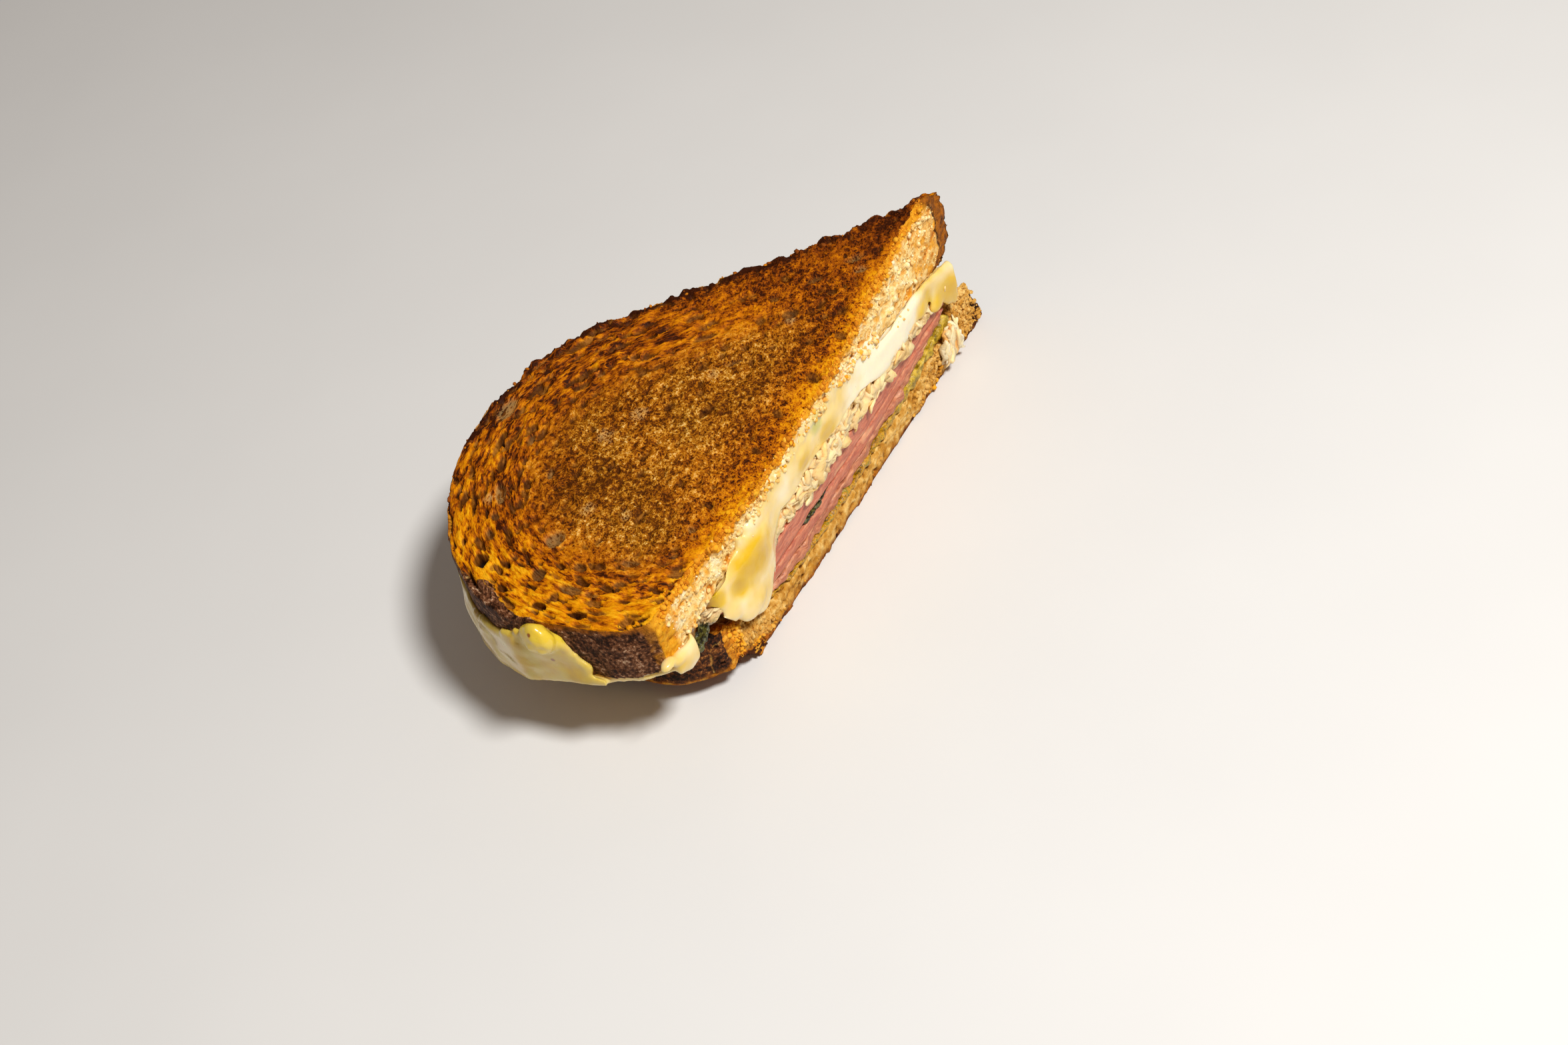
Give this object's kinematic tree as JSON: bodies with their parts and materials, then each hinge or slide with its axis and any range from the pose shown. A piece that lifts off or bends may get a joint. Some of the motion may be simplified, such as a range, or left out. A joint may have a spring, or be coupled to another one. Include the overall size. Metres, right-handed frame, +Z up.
{
  "type": "reuben sandwich half",
  "caption": "Half of a grilled rye sandwich with melted cheese, sauerkraut, sliced salt beef and relish, cut across and lying on its lower slice.",
  "frame": {"origin": "middle of the bounding box's base, on the surface the food lies on", "axes": "+X along the cut, from the fat rounded end of the slices to their pointed corner; +Y from the cut face to the crust behind it; +Z up, from the lower slice to the toasted upper face"},
  "size_m": [0.145, 0.0707, 0.047],
  "materials": {
    "toast": "grilled rye bread: matt golden brown toast, dark crust, pale crumb at the cut",
    "cheese": "melted yellow cheese, smooth and glossy",
    "sauerkraut": "pale straw shreds, moist",
    "beef": "salt beef, pink and fibrous, moist",
    "relish": "mustard relish, wet",
    "herb": "dark green leaf"
  },
  "bodies": {
    "root": {"bread_top": "toast", "bread_bottom": "toast", "cheese": "cheese", "sauerkraut": "sauerkraut", "sauerkraut_tuft": "sauerkraut", "beef_upper": "beef", "beef_middle": "beef", "beef_lower": "beef", "relish": "relish", "herb_middle": "herb", "herb_near": "herb"}
  },
  "joints": []
}
